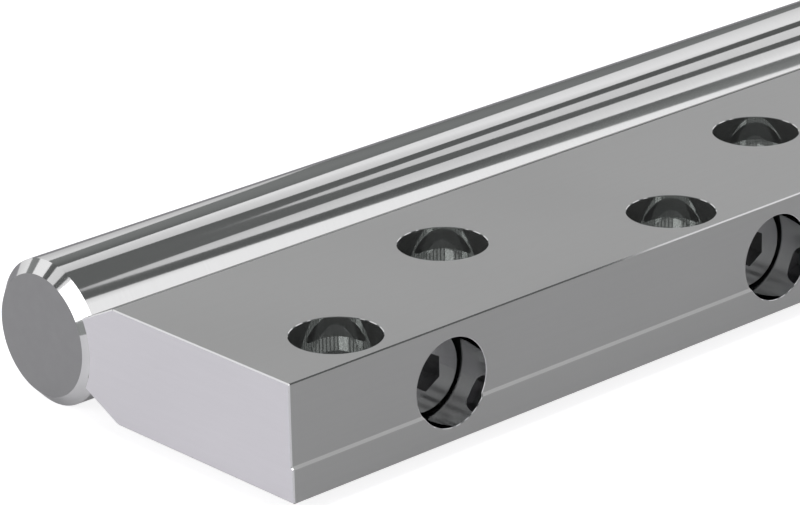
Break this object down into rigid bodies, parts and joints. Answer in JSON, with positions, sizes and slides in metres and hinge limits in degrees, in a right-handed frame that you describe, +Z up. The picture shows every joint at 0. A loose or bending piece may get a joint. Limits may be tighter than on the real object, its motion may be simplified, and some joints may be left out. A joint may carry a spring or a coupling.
{
  "type": "supported round rail",
  "caption": "Ground round steel shaft screwed to the side of a flat aluminium support bar with staggered counterbored mounting holes, for linear guides.",
  "frame": {"origin": "on the shaft's axis, at the middle of the rail's length", "axes": "+X along the rail, +Y from the bar towards the free side of the shaft, +Z up, out of the face with the counterbores"},
  "size_m": [0.6, 0.0743, 0.025],
  "materials": {
    "ground_steel": "ground and polished, mirror-like, hardened",
    "machined_aluminium": "finely milled, matt to satin, lightly glossy in the holes",
    "screw_steel": "plain dark grey steel"
  },
  "bodies": {
    "root": {"shaft": "ground_steel", "support_bar": "machined_aluminium", "cap_screw_1": "screw_steel", "cap_screw_2": "screw_steel", "cap_screw_3": "screw_steel", "cap_screw_4": "screw_steel", "cap_screw_5": "screw_steel", "cap_screw_6": "screw_steel", "cap_screw_7": "screw_steel", "cap_screw_8": "screw_steel"}
  },
  "joints": []
}
